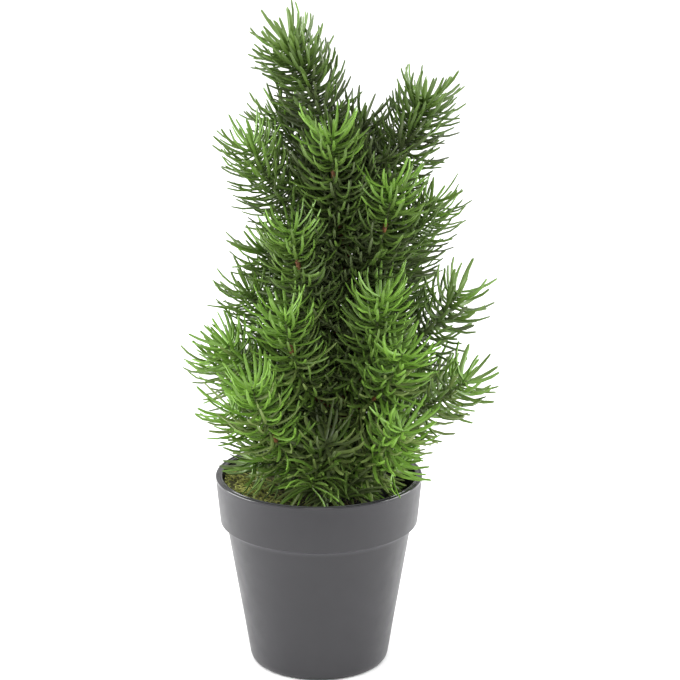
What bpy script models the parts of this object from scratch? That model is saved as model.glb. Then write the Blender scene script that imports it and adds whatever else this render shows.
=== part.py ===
"""Tabletop artificial noble fir in a round plastic pot.

The plant is a bent trunk that carries short boughs, and each bough carries one
moulded sprig of needles.  Every sprig grows by the same seeded rule: needles
stand out of a slim twig in a golden-angle spiral, lean towards its tip and keep
clear of all that has grown before them.

Standalone Blender 4.5 script, in metres with +Z up.  The origin is the centre of
the pot's flat underside, +X is the plant's right and -Y is its front.
"""

import math
import random
from typing import NamedTuple

import bmesh
import bpy
import numpy as np

MM = 0.001
GAP = 0.3 * MM  # between neighbouring pieces

# Pot: a tapered body under a wider band
POT_HEIGHT = 95 * MM
POT_RIM_RADIUS = 50.2 * MM
POT_BAND_FOOT_RADIUS = 47.9 * MM
POT_BAND_HEIGHT = 23.5 * MM
POT_BAND_EDGE = 1.5 * MM  # chamfer under the band
POT_NECK_RADIUS = 45.0 * MM  # body, just under the band
POT_FOOT_RADIUS = 33.6 * MM
POT_FOOT_ROUND = 3.8 * MM
POT_WALL = 2.4 * MM
POT_FLOOR = 3.0 * MM
POT_LIP = 3.4 * MM
POT_LIP_ROUND = 0.7 * MM
POT_STEPS = 44

# Fill and the moss laid on it
FILL_TOP = 82.0 * MM
MOSS_TOP = 86.0 * MM
MOSS_RIM_TOP = 84.0 * MM
MOSS_BANK = 9.0 * MM  # how far it rises to the wall on the left
MOSS_BANK_CURVE = 1.3
MOSS_FLAT_RADIUS = 9.0 * MM  # level ground round the trunk
MOSS_BUMP = 0.5 * MM
MOSS_RINGS = 5
MOSS_STEPS = 28
MOSS_BANK_HEADING = math.radians(190)

# Trunk: height, sideways offset and depth offset of the points it bends through
TRUNK_LINE = (
    (86.3, 5.0, 0.0),
    (98.0, 5.6, 0.0),
    (130.0, 10.0, 1.5),
    (178.0, 15.0, -1.0),
    (215.0, 12.0, 1.0),
    (240.0, 8.0, 0.5),
    (258.0, 5.0, 0.0),
)
TRUNK_FOOT_RADIUS = 5.6 * MM
TRUNK_BASE_RADIUS = 4.2 * MM
TRUNK_TOP_RADIUS = 1.6 * MM
TRUNK_FLARE_HEIGHT = 14 * MM
TRUNK_SIDES = 12
TRUNK_RINGS_PER_SPAN = 3
TRUNK_SAMPLES = 400  # points of its line that a bough's root is measured from

# Boughs, and the twig that carries each sprig's needles
BARE_SHARE = 0.28  # of a branch's length, from the trunk to its first needles
BOUGH_ROOT_RADIUS = 1.7 * MM
BOUGH_TIP_RADIUS = 1.25 * MM
BOUGH_SIDES = 6
BOUGH_RINGS = 4
BOUGH_FIRST_STEP = 4 * MM  # along the branch, over which its root's direction is taken
TWIG_ROOT_RADIUS = 1.5 * MM
TWIG_TIP_RADIUS = 0.9 * MM
TWIG_SIDES = 3
TWIG_RINGS = 7
BRANCH_STEPS = 24  # samples of a branch's curve
BRANCH_HANDLES = ((0, 0), (0.42, 0.28), (0.78, 0.62), (1, 1))  # shares of its reach and rise
UPTURN_SHIFTS = ((0, 0), (0.25, -0.15), (0.15, -0.12), (0, 0))  # added to them for an upturn of 1
FIRST_NEEDLE = 2 * MM  # from the twig's foot

# Needles
NEEDLE_LENGTH = 22.5 * MM
NEEDLE_WIDTH = 2.5 * MM
NEEDLE_THICKNESS = 1.3 * MM
NEEDLE_PITCH = 1.7 * MM  # along the twig, from one needle to the next
NEEDLE_SPREAD_BASE = math.radians(84)  # away from the twig's line
NEEDLE_SPREAD_TIP = math.radians(24)
NEEDLE_SWEEP = math.radians(24)  # how far a needle curves forward along its length
NEEDLE_BEND_AT = 0.42  # of its length, where its one bend is
NEEDLE_TIP_LENGTH_SHARE = 0.72  # of full length, at the tip of the twig
NEEDLE_LENGTH_SPREAD = 0.08
NEEDLE_SPREAD_JITTER = math.radians(7)
NEEDLE_CLEARANCE = 0.25 * MM  # between needles of different sprigs
GOLDEN_ANGLE = math.radians(137.508)
TURNS_TO_TRY = tuple(math.radians(turn) for turn in (0, 16, -16, 32, -32))
MOSS_CLEARANCE = 1 * MM  # under the lowest needles
SEED = 11
TRUNK_OWNER = -1  # in the list of taken space


class Sprig(NamedTuple):
    """One branch.  Lengths in millimetres, heading in degrees from +X towards +Y."""

    name: str
    heading: float
    root: float  # height at which it leaves the trunk
    reach: float  # sideways, from the trunk to the twig's tip
    rise: float  # upwards, from the root to the tip
    upturn: float = 0.0  # 1 for a tip that stands nearly upright, below 0 for one that leans out


LEADER = Sprig("leader", 180, 259, 21, 50, -1)
SIDE_SPRIGS = (
    Sprig("top_front", 250, 205, 21, 64, 0.5),
    Sprig("top_right", 7, 217, 40, 64),
    Sprig("top_left", 186, 192, 47, 69),
    Sprig("top_back_left", 147, 232, 35, 40),
    Sprig("top_back_right", 84, 218, 26, 38),
    Sprig("upper_front_right", 323, 184, 25, 60, 0.5),
    Sprig("upper_right", 12, 180, 41, 51),
    Sprig("upper_front_left", 218, 163, 34, 61, 0.6),
    Sprig("upper_left", 160, 172, 46, 34),
    Sprig("upper_back", 95, 185, 38, 52, 0.8),
    Sprig("middle_front_left", 228, 127, 38, 58, 0.8),
    Sprig("middle_front_right", 303, 136, 34, 58, 0.8),
    Sprig("middle_left", 174, 136, 46, 52),
    Sprig("middle_right", 0, 133, 58, 55),
    Sprig("middle_far_left", 186, 125, 55, 38),
    Sprig("middle_back_right", 52, 150, 50, 48, 0.6),
    Sprig("middle_back_left", 122, 146, 50, 50, 0.6),
    Sprig("low_front_right", 314, 121, 45, 46, 0.3),
    Sprig("low_right", 350, 110, 66, 37),
    Sprig("low_left", 157, 117, 66, 29),
    Sprig("low_front_left", 220, 92, 48, 59, 0.5),
    Sprig("low_back", 84, 116, 56, 38, 0.8),
    Sprig("low_back_right", 32, 104, 60, 34, 0.4),
    Sprig("low_back_left", 128, 102, 58, 34, 0.6),
    Sprig("foot_front_right", 318, 99, 48, 30, 0.2),
    Sprig("foot_front", 265, 99, 27, 24, 0.6),
    Sprig("foot_left", 192, 99, 50, 34),
)

PLASTIC_GREY = (0.085, 0.085, 0.09)
FILL_BROWN = (0.03, 0.022, 0.016)
MOSS_GREEN = (0.16, 0.17, 0.03)
BARK_BROWN = (0.13, 0.065, 0.035)
NEEDLE_GREEN = (0.07, 0.2, 0.035)


def clear_scene():
    """Remove whatever the scene holds."""
    for old in list(bpy.data.objects):
        bpy.data.objects.remove(old, do_unlink=True)


def make_material(name, colour, roughness):
    """A plain Principled BSDF material."""
    made = bpy.data.materials.new(name)
    made.use_nodes = True
    shader = made.node_tree.nodes["Principled BSDF"]
    shader.inputs["Base Color"].default_value = (*colour, 1)
    shader.inputs["Roughness"].default_value = roughness
    return made


def add_object(name, mesh, made_of=None, collection=None):
    """A named object for a mesh, in the scene unless another collection is given."""
    obj = bpy.data.objects.new(name, mesh)
    if made_of:
        mesh.materials.append(made_of)
    (collection or bpy.context.scene.collection).objects.link(obj)
    return obj


def shade_round(mesh, sharp_over=math.radians(35)):
    """Smooth shading with sharp edges kept."""
    mesh.shade_smooth()
    mesh.set_sharp_from_angle(angle=sharp_over)


def mesh_of(name, vertices, faces):
    """A mesh with its faces turned outwards."""
    grid = bmesh.new()
    made = [grid.verts.new(vertex) for vertex in vertices]
    for face in faces:
        grid.faces.new([made[index] for index in face])
    bmesh.ops.recalc_face_normals(grid, faces=grid.faces)
    mesh = bpy.data.meshes.new(name)
    grid.to_mesh(mesh)
    grid.free()
    return mesh


def turned(name, profile, steps):
    """A solid of revolution about Z from (radius, height) points that start and end on the axis."""
    lathe = bmesh.new()
    verts = [lathe.verts.new((radius, 0, height)) for radius, height in profile]
    edges = [lathe.edges.new(pair) for pair in zip(verts, verts[1:])]
    bmesh.ops.spin(
        lathe,
        geom=verts + edges,
        cent=(0, 0, 0),
        axis=(0, 0, 1),
        angle=math.tau,
        steps=steps,
        use_merge=True,
    )
    bmesh.ops.remove_doubles(lathe, verts=lathe.verts, dist=GAP / 100)
    bmesh.ops.recalc_face_normals(lathe, faces=lathe.faces)
    mesh = bpy.data.meshes.new(name)
    lathe.to_mesh(mesh)
    lathe.free()
    return mesh


def arc(centre, radius, start, end, steps):
    """(radius, height) points of an arc between two angles in degrees."""
    points = []
    for step in range(steps + 1):
        angle = math.radians(start + (end - start) * step / steps)
        points.append((centre[0] + radius * math.cos(angle), centre[1] + radius * math.sin(angle)))
    return points


def wall_radius(height, inset=0.0):
    """Radius of the pot's inner wall at a height, less an inset."""
    band_foot = POT_HEIGHT - POT_BAND_HEIGHT
    share = height / band_foot
    body = POT_FOOT_RADIUS + (POT_NECK_RADIUS - POT_FOOT_RADIUS) * share
    return body - POT_WALL - inset


def build_pot(plastic):
    """Tapered body, wider band with a chamfered foot, and a lip that is thicker than the wall."""
    band_foot = POT_HEIGHT - POT_BAND_HEIGHT
    lip_inner = POT_RIM_RADIUS - POT_LIP
    foot_centre = (POT_FOOT_RADIUS - POT_FOOT_ROUND, POT_FOOT_ROUND)
    lip_centre = (POT_RIM_RADIUS - POT_LIP_ROUND, POT_HEIGHT - POT_LIP_ROUND)
    profile = [(0, 0)]
    profile += arc(foot_centre, POT_FOOT_ROUND, -90, -8, 4)
    profile += [
        (POT_NECK_RADIUS, band_foot - POT_BAND_EDGE / 2),
        (POT_BAND_FOOT_RADIUS - POT_BAND_EDGE, band_foot),
        (POT_BAND_FOOT_RADIUS, band_foot + POT_BAND_EDGE),
    ]
    profile += arc(lip_centre, POT_LIP_ROUND, 0, 90, 2)
    profile += [
        (lip_inner + POT_LIP_ROUND, POT_HEIGHT),
        (lip_inner, POT_HEIGHT - POT_LIP_ROUND),
        (lip_inner - POT_LIP_ROUND, band_foot + POT_WALL),
        (wall_radius(band_foot - POT_WALL), band_foot - POT_WALL),
        (wall_radius(POT_FLOOR), POT_FLOOR),
        (0, POT_FLOOR),
    ]
    mesh = turned("pot", profile, POT_STEPS)
    shade_round(mesh)
    return add_object("pot", mesh, plastic)


def build_fill(fill):
    """Solid fill from the pot's floor to just under the moss."""
    low = POT_FLOOR + GAP
    knee = POT_HEIGHT - POT_BAND_HEIGHT - POT_WALL
    profile = [
        (0, low),
        (wall_radius(low, GAP), low),
        (wall_radius(knee, GAP), knee),
        (wall_radius(knee, GAP), FILL_TOP),
        (0, FILL_TOP),
    ]
    mesh = turned("fill", profile, POT_STEPS // 2)
    return add_object("fill", mesh, fill)


def moss_height(x, y):
    """Top of the moss: level round the trunk, lower at the wall, banked up on the left."""
    edge = POT_RIM_RADIUS - POT_LIP
    out = min(1.0, max(0.0, (math.hypot(x, y) - MOSS_FLAT_RADIUS) / (edge - MOSS_FLAT_RADIUS)))
    level = MOSS_TOP + (MOSS_RIM_TOP - MOSS_TOP) * out
    along = x * math.cos(MOSS_BANK_HEADING) + y * math.sin(MOSS_BANK_HEADING)
    past_flat = max(0.0, along - MOSS_FLAT_RADIUS) / (edge - MOSS_FLAT_RADIUS)
    return level + MOSS_BANK * past_flat**MOSS_BANK_CURVE


def build_moss(moss):
    """A mat over the fill, flat underneath, its top bumpy outside the ring round the trunk."""
    dice = random.Random(SEED)
    low = FILL_TOP + GAP
    outer = wall_radius(POT_HEIGHT - POT_BAND_HEIGHT - POT_WALL, GAP)
    vertices = [(0, 0, MOSS_TOP)]
    for ring in range(1, MOSS_RINGS + 1):
        radius = MOSS_FLAT_RADIUS + (outer - MOSS_FLAT_RADIUS) * (ring - 1) / (MOSS_RINGS - 1)
        for step in range(MOSS_STEPS):
            angle = math.tau * step / MOSS_STEPS
            x, y = radius * math.cos(angle), radius * math.sin(angle)
            bump = dice.uniform(-MOSS_BUMP, MOSS_BUMP) if ring > 1 else 0
            vertices.append((x, y, moss_height(x, y) + bump))
    rim = len(vertices) - MOSS_STEPS
    vertices += [(x, y, low) for x, y, _ in vertices[rim:]]
    vertices.append((0, 0, low))
    faces = []
    for step in range(MOSS_STEPS):
        after = (step + 1) % MOSS_STEPS
        faces.append((0, 1 + step, 1 + after))
        faces.append((len(vertices) - 1, rim + MOSS_STEPS + after, rim + MOSS_STEPS + step))
        for ring in range(MOSS_RINGS):
            start = 1 + ring * MOSS_STEPS
            beyond = start + MOSS_STEPS
            faces.append((start + step, beyond + step, beyond + after, start + after))
    return add_object("moss", mesh_of("moss", vertices, faces), moss)


def catmull_rom(points, per_span):
    """A smooth line through points, as an array, with the ends' slopes taken from their spans."""
    knots = np.array([2 * points[0] - points[1], *points, 2 * points[-1] - points[-2]])
    line = []
    for index in range(len(points) - 1):
        before, start, end, after = knots[index : index + 4]
        for step in range(per_span):
            t = step / per_span
            line.append(
                0.5
                * (
                    2 * start
                    + (end - before) * t
                    + (2 * before - 5 * start + 4 * end - after) * t**2
                    + (3 * start - before - 3 * end + after) * t**3
                )
            )
    line.append(points[-1])
    return np.array(line)


def trunk_line():
    """The trunk's centre line, foot to top."""
    knots = [np.array((x, y, z)) * MM for z, x, y in TRUNK_LINE]
    return catmull_rom(knots, TRUNK_RINGS_PER_SPAN)


def trunk_radius(height):
    """Even taper with a flare at the foot."""
    foot, top = TRUNK_LINE[0][0] * MM, TRUNK_LINE[-1][0] * MM
    share = (height - foot) / (top - foot)
    flare = max(0.0, 1 - (height - foot) / TRUNK_FLARE_HEIGHT) ** 2
    plain = TRUNK_BASE_RADIUS + (TRUNK_TOP_RADIUS - TRUNK_BASE_RADIUS) * share
    return plain + (TRUNK_FOOT_RADIUS - TRUNK_BASE_RADIUS) * flare


def branch_line(sprig, trunk):
    """A branch's centre line from the trunk's centre, leaving it flat and turning up to the tip."""
    root_height = sprig.root * MM
    root = np.array([np.interp(root_height, trunk[:, 2], trunk[:, axis]) for axis in range(3)])
    heading = math.radians(sprig.heading)
    out = np.array((math.cos(heading), math.sin(heading), 0)) * sprig.reach * MM
    rise = np.array((0, 0, sprig.rise)) * MM
    shares = np.array(BRANCH_HANDLES) + sprig.upturn * np.array(UPTURN_SHIFTS)
    handles = [root + across * out + upward * rise for across, upward in shares]
    line = []
    for step in range(BRANCH_STEPS + 1):
        t = step / BRANCH_STEPS
        weights = ((1 - t) ** 3, 3 * t * (1 - t) ** 2, 3 * t**2 * (1 - t), t**3)
        line.append(sum(weight * handle for weight, handle in zip(weights, handles)))
    return np.array(line)


def lengths_along(line):
    """Distance along a line to each of its points."""
    return np.concatenate([[0], np.cumsum(np.linalg.norm(np.diff(line, axis=0), axis=1))])


def point_at(line, distance):
    """The point at a distance along a line."""
    along = lengths_along(line)
    return np.array([np.interp(distance, along, line[:, axis]) for axis in range(3)])


def stretch(line, start, end, count):
    """Evenly spaced points of a line between two distances along it."""
    return np.array([point_at(line, distance) for distance in np.linspace(start, end, count)])


def frames_along(line):
    """Forward, side and up directions at each point, carried along without twist."""
    forward = np.gradient(line, axis=0)
    forward /= np.linalg.norm(forward, axis=1)[:, None]
    side = np.cross(forward[0], (0.0, 0.0, 1.0) if abs(forward[0][2]) < 0.9 else (0.0, 1.0, 0.0))
    frames = []
    for ahead in forward:
        side = side - ahead * side.dot(ahead)
        side /= np.linalg.norm(side)
        frames.append((ahead, side, np.cross(ahead, side)))
    return frames


def limb(name, line, radii, sides):
    """A tapering limb with flat ends, square to its line."""
    vertices = []
    for centre, (_, side, up), radius in zip(line, frames_along(line), radii):
        for step in range(sides):
            angle = math.tau * step / sides
            vertices.append(centre + radius * (math.cos(angle) * side + math.sin(angle) * up))
    faces = [tuple(range(sides)), tuple(range(len(vertices) - sides, len(vertices)))]
    for ring in range(len(line) - 1):
        for step in range(sides):
            low = ring * sides
            after = (step + 1) % sides
            faces.append((low + step, low + after, low + sides + after, low + sides + step))
    return mesh_of(name, vertices, faces)


class Needle(NamedTuple):
    """A needle's root, bend and tip, and the direction of its width."""

    root: np.ndarray
    bend: np.ndarray
    tip: np.ndarray
    across: np.ndarray


def needle_at(line, distance, turn, spread, length):
    """A needle that leaves a twig at a turn round it and curves forward."""
    ahead = point_at(line, distance + MM) - point_at(line, distance - MM)
    ahead /= np.linalg.norm(ahead)
    side = np.cross(ahead, (0.0, 0.0, 1.0))
    side /= np.linalg.norm(side)
    outward = math.cos(turn) * side + math.sin(turn) * np.cross(ahead, side)
    root = point_at(line, distance)
    first = math.cos(spread) * ahead + math.sin(spread) * outward
    later = math.cos(spread - NEEDLE_SWEEP) * ahead + math.sin(spread - NEEDLE_SWEEP) * outward
    bend = root + first * length * NEEDLE_BEND_AT
    tip = bend + later * length * (1 - NEEDLE_BEND_AT)
    return Needle(root, bend, tip, np.cross(first, outward if spread > 0.2 else side))


def needle_mesh(needle):
    """A bent three-sided spindle of six faces, widest at its bend."""
    across = needle.across / np.linalg.norm(needle.across)
    along = needle.tip - needle.root
    back = np.cross(along / np.linalg.norm(along), across)
    half_width = across * NEEDLE_WIDTH / 2
    depth = back * NEEDLE_THICKNESS / 2
    ring = [needle.bend - half_width - depth, needle.bend + half_width - depth, needle.bend + depth]
    faces = []
    for step in range(3):
        after = (step + 1) % 3
        faces.append((0, 1 + step, 1 + after))
        faces.append((4, 1 + after, 1 + step))
    return mesh_of("needle", [needle.root, *ring, needle.tip], faces)


class Room:
    """The space taken so far, as thick line segments that each belong to one sprig."""

    def __init__(self):
        self.starts = np.empty((0, 3))
        self.ends = np.empty((0, 3))
        self.radii = np.empty(0)
        self.owners = np.empty(0, int)

    def take(self, line, radii, owner):
        """Keep a line's segments."""
        count = len(line) - 1
        self.starts = np.vstack([self.starts, line[:-1]])
        self.ends = np.vstack([self.ends, line[1:]])
        self.radii = np.concatenate([self.radii, np.broadcast_to(radii, count)])
        self.owners = np.concatenate([self.owners, np.full(count, owner)])

    def is_clear(self, start, end, radius, owner):
        """Whether a segment keeps its clearance from every other sprig."""
        others = self.owners != owner
        reach = self.radii[others] + radius + NEEDLE_CLEARANCE
        return bool((segment_gaps(start, end, self.starts[others], self.ends[others]) > reach).all())


def segment_gaps(start, end, starts, ends):
    """Shortest distances from one segment to each of several."""
    first, second = end - start, ends - starts
    between = start - starts
    a, e = first.dot(first), np.einsum("ij,ij->i", second, second)
    b, c = second @ first, between @ first
    f = np.einsum("ij,ij->i", second, between)
    spread = np.maximum(a * e - b * b, 1e-18)
    s = np.clip((b * f - c * e) / spread, 0, 1)
    t = np.clip((b * s + f) / e, 0, 1)
    s = np.clip((b * t - c) / a, 0, 1)
    gap = between + s[:, None] * first - t[:, None] * second
    return np.linalg.norm(gap, axis=1)


def clears_pot(points, radius):
    """Whether each point is over the rim, or inside it and above the moss."""
    for x, y, z in points:
        if z > POT_HEIGHT + GAP + radius:
            continue
        inside = math.hypot(x, y) < POT_RIM_RADIUS - POT_LIP - 2 * GAP - radius
        if not inside or z < moss_height(x, y) + MOSS_CLEARANCE + radius:
            return False
    return True


def ring_round(centre, ahead, radius, sides):
    """Points of a circle square to a direction."""
    side = np.cross(ahead, (0.0, 0.0, 1.0))
    side /= np.linalg.norm(side)
    up = np.cross(ahead, side) / np.linalg.norm(ahead)
    angles = np.arange(sides)[:, None] * math.tau / sides
    return centre + radius * (np.cos(angles) * side + np.sin(angles) * up)


def first_clear_of_trunk(line, trunk):
    """Distance along a branch at which the whole end of its bough stands off the trunk."""
    samples = stretch(trunk, 0, lengths_along(trunk)[-1], TRUNK_SAMPLES)
    radii = np.array([trunk_radius(z) for z in samples[:, 2]])[:, None]
    distance = 0
    while True:
        centre = point_at(line, distance)
        ahead = point_at(line, distance + BOUGH_FIRST_STEP) - centre
        ring = ring_round(centre, ahead, BOUGH_ROOT_RADIUS, TRUNK_SIDES)
        gaps = np.linalg.norm(samples[:, None] - ring[None], axis=2) - radii
        if gaps.min() > GAP:
            return distance
        distance += GAP / 3


class Branch:
    """A branch's line, where its bough starts and ends, and the needles it has grown."""

    def __init__(self, number, sprig, trunk):
        self.number = number
        self.name = sprig.name
        self.line = branch_line(sprig, trunk)
        self.length = lengths_along(self.line)[-1]
        self.dice = random.Random(SEED * 1000 + number)
        self.phase = self.dice.uniform(0, math.tau)
        self.needles = []
        if sprig is LEADER:
            self.bough_start = self.bough_end = None
            self.twig_start = GAP
        else:
            self.bough_start = first_clear_of_trunk(self.line, trunk)
            self.bough_end = self.length * BARE_SHARE
            self.twig_start = self.bough_end + GAP
        self.count = int((self.length - self.twig_start) / NEEDLE_PITCH)

    def try_needle(self, index, room):
        """Grow needle number index, turned a little if that keeps it clear, or else skip it."""
        share = index / (self.count - 1)
        first = self.twig_start + FIRST_NEEDLE
        distance = first + (self.length - first - TWIG_TIP_RADIUS) * share
        spread = NEEDLE_SPREAD_BASE + (NEEDLE_SPREAD_TIP - NEEDLE_SPREAD_BASE) * share**5
        spread += self.dice.uniform(-NEEDLE_SPREAD_JITTER, NEEDLE_SPREAD_JITTER)
        length = NEEDLE_LENGTH * (1 - (1 - NEEDLE_TIP_LENGTH_SHARE) * share**3)
        length *= 1 - self.dice.uniform(0, NEEDLE_LENGTH_SPREAD)
        radius = NEEDLE_WIDTH / 2
        for turn in TURNS_TO_TRY:
            around = self.phase + index * GOLDEN_ANGLE + turn
            needle = needle_at(self.line, distance, around, spread, length)
            path = np.array([needle.root, needle.bend, needle.tip])
            clear = clears_pot(path, radius)
            for start, end in zip(path, path[1:]):
                clear = clear and room.is_clear(start, end, radius, self.number)
            if clear:
                room.take(path, radius, self.number)
                self.needles.append(needle)
                return


def join(core, others):
    """Join meshes to a core object with one Boolean union, applied, and remove them."""
    pile = bpy.data.collections.new("joining")
    bpy.context.scene.collection.children.link(pile)
    helpers = [add_object("joining", mesh, collection=pile) for mesh in others]
    union = core.modifiers.new("union", "BOOLEAN")
    union.operation = "UNION"
    union.operand_type = "COLLECTION"
    union.collection = pile
    union.solver = "EXACT"
    bpy.context.view_layer.update()
    graph = bpy.context.evaluated_depsgraph_get()
    joined = bpy.data.meshes.new_from_object(core.evaluated_get(graph))
    core.modifiers.remove(union)
    core.data = joined
    for helper in helpers:
        bpy.data.objects.remove(helper, do_unlink=True)
    bpy.data.collections.remove(pile)


def build_branch(branch, bark, green):
    """The bough as one limb, and the sprig as its twig with the needles fused on."""
    if branch.bough_end:
        line = stretch(branch.line, branch.bough_start, branch.bough_end, BOUGH_RINGS)
        radii = np.linspace(BOUGH_ROOT_RADIUS, BOUGH_TIP_RADIUS, BOUGH_RINGS)
        add_object("bough_" + branch.name, limb("bough", line, radii, BOUGH_SIDES), bark)
    line = stretch(branch.line, branch.twig_start, branch.length, TWIG_RINGS)
    radii = np.linspace(TWIG_ROOT_RADIUS, TWIG_TIP_RADIUS, TWIG_RINGS)
    core = add_object("sprig_" + branch.name, limb("sprig", line, radii, TWIG_SIDES), green)
    join(core, [needle_mesh(needle) for needle in branch.needles])


def grow(trunk):
    """All branches with their needles, grown in turn from the tips inwards."""
    branches = [Branch(number, sprig, trunk) for number, sprig in enumerate((LEADER, *SIDE_SPRIGS))]
    room = Room()
    room.take(trunk, [trunk_radius(z) for z in trunk[:-1, 2]], TRUNK_OWNER)
    for branch in branches:
        limb_line = stretch(branch.line, TRUNK_BASE_RADIUS, branch.length, BRANCH_STEPS)
        room.take(limb_line, BOUGH_ROOT_RADIUS, branch.number)
    most = max(branch.count for branch in branches)
    for back in range(1, most + 1):
        for branch in branches:
            if back <= branch.count:
                branch.try_needle(branch.count - back, room)
    return branches


def main():
    clear_scene()
    plastic = make_material("pot plastic", PLASTIC_GREY, 0.55)
    fill = make_material("fill", FILL_BROWN, 0.9)
    moss = make_material("moss", MOSS_GREEN, 0.95)
    bark = make_material("bark", BARK_BROWN, 0.8)
    green = make_material("needle plastic", NEEDLE_GREEN, 0.5)
    build_pot(plastic)
    build_fill(fill)
    build_moss(moss)
    trunk = trunk_line()
    radii = [trunk_radius(z) for z in trunk[:, 2]]
    add_object("trunk", limb("trunk", trunk, radii, TRUNK_SIDES), bark)
    for branch in grow(trunk):
        build_branch(branch, bark, green)


main()
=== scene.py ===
"""Dresses the tabletop artificial fir: pot, moss, bark, twigs and every needle.

Run as a script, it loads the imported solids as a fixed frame, models each piece
round them and sets a plain pale stage.  All lengths are in metres, +Z is up,
+X is the plant's right and -Y its front.
"""

import math
import random
from typing import NamedTuple

import bmesh
import bpy
import numpy as np
from bpy.props import FloatProperty, FloatVectorProperty, IntProperty, PointerProperty
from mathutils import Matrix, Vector, noise


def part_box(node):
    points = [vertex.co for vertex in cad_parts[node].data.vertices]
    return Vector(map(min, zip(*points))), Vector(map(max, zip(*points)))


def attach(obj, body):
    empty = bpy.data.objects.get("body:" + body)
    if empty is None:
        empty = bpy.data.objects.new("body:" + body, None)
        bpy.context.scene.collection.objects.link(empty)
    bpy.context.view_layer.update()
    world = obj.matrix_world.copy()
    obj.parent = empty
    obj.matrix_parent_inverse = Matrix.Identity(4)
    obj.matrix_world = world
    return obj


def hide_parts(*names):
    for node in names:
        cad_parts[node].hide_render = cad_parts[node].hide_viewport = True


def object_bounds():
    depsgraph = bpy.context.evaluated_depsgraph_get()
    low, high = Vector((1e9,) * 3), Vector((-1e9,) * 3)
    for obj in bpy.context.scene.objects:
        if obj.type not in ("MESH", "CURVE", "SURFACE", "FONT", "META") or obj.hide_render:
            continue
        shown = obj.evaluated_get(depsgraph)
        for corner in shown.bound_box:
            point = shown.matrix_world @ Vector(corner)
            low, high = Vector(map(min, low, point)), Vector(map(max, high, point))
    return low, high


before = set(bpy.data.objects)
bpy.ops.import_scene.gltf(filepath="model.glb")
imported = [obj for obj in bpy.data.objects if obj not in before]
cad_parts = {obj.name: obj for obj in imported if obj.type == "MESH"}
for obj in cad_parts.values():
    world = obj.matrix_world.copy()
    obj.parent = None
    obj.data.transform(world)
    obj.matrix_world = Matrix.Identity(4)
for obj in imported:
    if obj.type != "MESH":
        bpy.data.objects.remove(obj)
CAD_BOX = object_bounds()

bl_info = {
    "name": "Tabletop fir in a pot",
    "version": (1, 0, 0),
    "blender": (4, 5, 0),
    "location": "3D View > Sidebar > Fir",
    "description": "Models the pot, moss, bark, twigs and needles of an artificial tabletop fir",
    "category": "Object",
}

MM = 0.001
POT_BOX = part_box("pot")
POT_HEIGHT = POT_BOX[1].z
RIM_RADIUS = (POT_BOX[1].x - POT_BOX[0].x) / 2

# Pot, from the foot up: a tapered body under a wider band
FOOT_RADIUS = 33.6 * MM
FOOT_ROUND = 3.8 * MM
FOOT_CURVE = ((1, 0), (0.62, 0.07), (0.29, 0.29), (0.07, 0.62))  # shares of it, inwards and up
FOOT_TOP = 1.1 * FOOT_ROUND
FOOT_TOP_RADIUS = FOOT_RADIUS + 0.25 * MM
NECK_RADIUS = 45.0 * MM  # body, just under the band
BAND_FOOT = POT_HEIGHT - 23.5 * MM
BAND_FOOT_RADIUS = 47.9 * MM
NECK_HEIGHT = BAND_FOOT - 0.3 * MM
BAND_ROUND = 0.7 * MM
NECK_ROUND = 2.2 * MM
PAINTED_HIGHLIGHT_DEPTH = 3.4 * MM  # of the pale ring under the band: a painted highlight where its rounded lower edge catches light
PAINTED_HIGHLIGHT_TOP = BAND_FOOT - 0.5 * MM
PAINTED_HIGHLIGHT_EDGE = 0.2 * MM
WALL = 2.4 * MM
FLOOR = 3.0 * MM
LIP = 3.4 * MM
LIP_GROOVE = 0.35 * MM
LIP_STEP = 1.1 * MM  # from either edge of the lip to its groove
LIP_SLOPES = (0.3 * MM, 0.2 * MM)  # widths of the groove's outer and inner side
LIP_DRAFT = 0.7 * MM  # how much the inside narrows down the band
LIP_ROUND = 0.7 * MM
LIP_INSIDE = POT_HEIGHT - 0.1 * MM  # height of the lip's inner edge
LIP_SHINE = (1.6 * MM, 1.0 * MM)  # depths between which the shine of the lip comes in
POT_STEPS = 144

# Moss laid over the fill
MOSS_BASE = 82.3 * MM
MOSS_TOP = 86.0 * MM
MOSS_RIM_TOP = 84.0 * MM
MOSS_BANK = 9.0 * MM  # how far it rises to the wall on the left
MOSS_BANK_CURVE = 1.3
MOSS_BANK_HEADING = math.radians(190)
MOSS_FLAT_RADIUS = 9.0 * MM
MOSS_RADIUS = 45.8 * MM
MAT_STEPS = 96
MAT_RINGS = 34
MAT_SUNK = 0.5 * MM  # so that its lumps keep under the moss's height
MAT_LUMP = 0.9 * MM
STRAND_POINTS = 6
STRAND_SIDES = 3
STRAND_SHARES = (0.35, 1.0)  # shortest and longest, of the strand length
STRAND_BEND = 0.9
STRAND_CURL = 0.5
STRAND_INSET = 0.4 * MM  # from the edge of the mat
STRAND_SUNK = 0.2 * MM
STRAND_LIFT = (0.2, 1.6)  # millimetres, how far its middle stands off the mat
BARE_GROUND = 0.15  # share of the strands that lie away from the bank
BRIGHT_OVER = 0.55  # brightness over which a strand is bright, or else olive, or else brown
OLIVE_OVER = 0.1

# Trunk: height, sideways offset and depth offset of the points it bends through
TRUNK_LINE = (
    (86.3, 5.0, 0.0),
    (98.0, 5.6, 0.0),
    (130.0, 10.0, 1.5),
    (178.0, 15.0, -1.0),
    (215.0, 12.0, 1.0),
    (240.0, 8.0, 0.5),
    (258.0, 5.0, 0.0),
)
TRUNK_FOOT_RADIUS = 5.6 * MM
TRUNK_BASE_RADIUS = 4.2 * MM
TRUNK_TOP_RADIUS = 1.6 * MM
TRUNK_FLARE_HEIGHT = 14 * MM
TRUNK_RINGS = 150

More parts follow.
